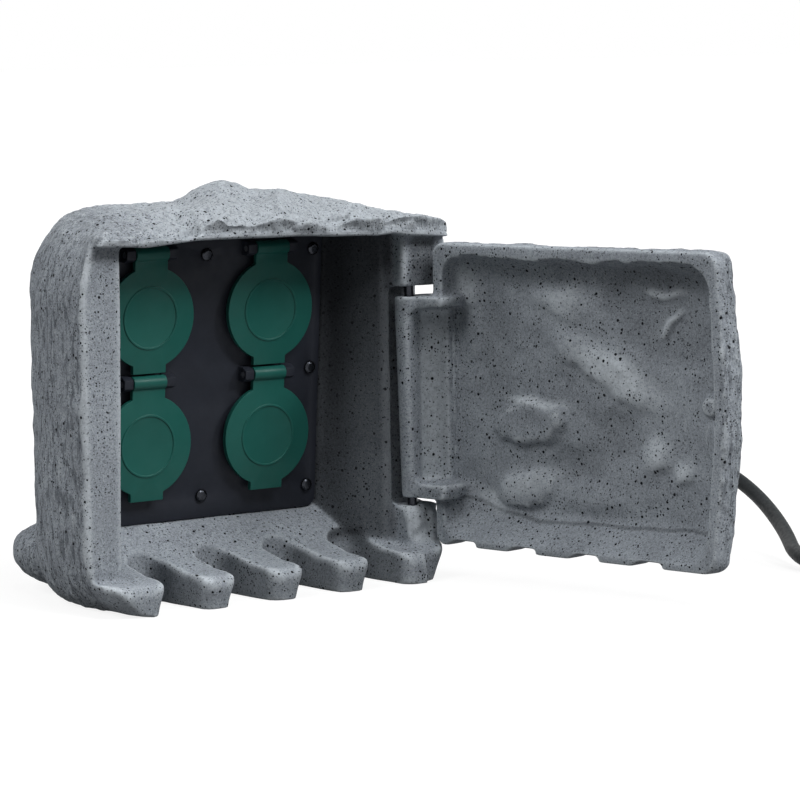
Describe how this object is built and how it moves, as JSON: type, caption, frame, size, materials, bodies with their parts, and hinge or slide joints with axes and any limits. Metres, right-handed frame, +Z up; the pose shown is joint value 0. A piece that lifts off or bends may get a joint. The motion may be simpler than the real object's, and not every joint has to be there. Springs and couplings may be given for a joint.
{
  "type": "outdoor socket",
  "caption": "Cast-stone-look outdoor socket box with lidded earthed sockets on a tilted plate, a side-hinged hollow door, cable slots at its foot and a supply cord with plug.",
  "frame": {"origin": "on the ground under the housing, in line with the middle of its feet", "axes": "X to the right along the front, Y to the back, Z up; the open front faces -Y"},
  "size_m": [0.4517, 0.4413, 0.201],
  "materials": {
    "cast_stone": "rough speckled cast stone look, blue-grey",
    "green_plastic": "satin dark green",
    "black_plastic": "near-black satin",
    "soft_rubber": "soft black",
    "cord_rubber": "matt dark green-black",
    "bright_steel": "bright zinc",
    "steel": "plain",
    "brass": "plain",
    "tie_fabric": "woven black band"
  },
  "bodies": {
    "housing": {"housing_shell": "cast_stone", "door_pin_top": "steel", "door_pin_bottom": "steel", "socket_plate": "black_plastic", "plate_gasket": "soft_rubber", "plate_screws": "bright_steel", "earth_screws": "bright_steel", "contact_sleeves": "brass", "live_busbar": "brass", "neutral_busbar": "brass", "earth_busbar": "brass", "lid_pins": "steel", "lid_springs": "steel", "gland_body": "black_plastic", "gland_seal": "soft_rubber", "gland_cap": "black_plastic", "gland_nut": "black_plastic", "cord_end": "cord_rubber", "cord_leads": "cord_rubber", "supply_cord_run": "cord_rubber", "supply_cord_coil": "cord_rubber", "cord_tie": "tie_fabric", "plug_body": "cord_rubber", "plug_pins": "bright_steel", "plug_earth_contacts": "brass", "socket_insert_1": "black_plastic", "earth_clip_1": "steel", "socket_insert_2": "black_plastic", "earth_clip_2": "steel", "socket_insert_3": "black_plastic", "earth_clip_3": "steel", "socket_insert_4": "black_plastic", "earth_clip_4": "steel"},
    "door": {"door": "cast_stone"},
    "lid_1": {"lid_1": "green_plastic", "lid_gasket_1": "soft_rubber"},
    "lid_2": {"lid_2": "green_plastic", "lid_gasket_2": "soft_rubber"},
    "lid_3": {"lid_3": "green_plastic", "lid_gasket_3": "soft_rubber"},
    "lid_4": {"lid_4": "green_plastic", "lid_gasket_4": "soft_rubber"}
  },
  "joints": [
    {"name": "door_swing", "type": "hinge", "parent": "housing", "child": "door", "pos_m": [0.1077, -0.044, 0.0935], "axis": [0, 0, 1], "range_deg": [-99.6, 10]},
    {"name": "lid_1_flap", "type": "hinge", "parent": "housing", "child": "lid_1", "pos_m": [-0.03125, -0.022, 0.16892], "axis": [-1, 0, 0], "range_deg": [0, 90], "stiffness_Nm_per_rad": 0.006, "springref_deg": -20.05},
    {"name": "lid_2_flap", "type": "hinge", "parent": "housing", "child": "lid_2", "pos_m": [0.03925, -0.022, 0.16892], "axis": [-1, 0, 0], "range_deg": [0, 90], "stiffness_Nm_per_rad": 0.006, "springref_deg": -20.05},
    {"name": "lid_3_flap", "type": "hinge", "parent": "housing", "child": "lid_3", "pos_m": [-0.03125, -0.01685, 0.10623], "axis": [-1, 0, 0], "range_deg": [0, 95], "stiffness_Nm_per_rad": 0.006, "springref_deg": -20.05},
    {"name": "lid_4_flap", "type": "hinge", "parent": "housing", "child": "lid_4", "pos_m": [0.03925, -0.01685, 0.10623], "axis": [-1, 0, 0], "range_deg": [0, 95], "stiffness_Nm_per_rad": 0.006, "springref_deg": -20.05}
  ]
}
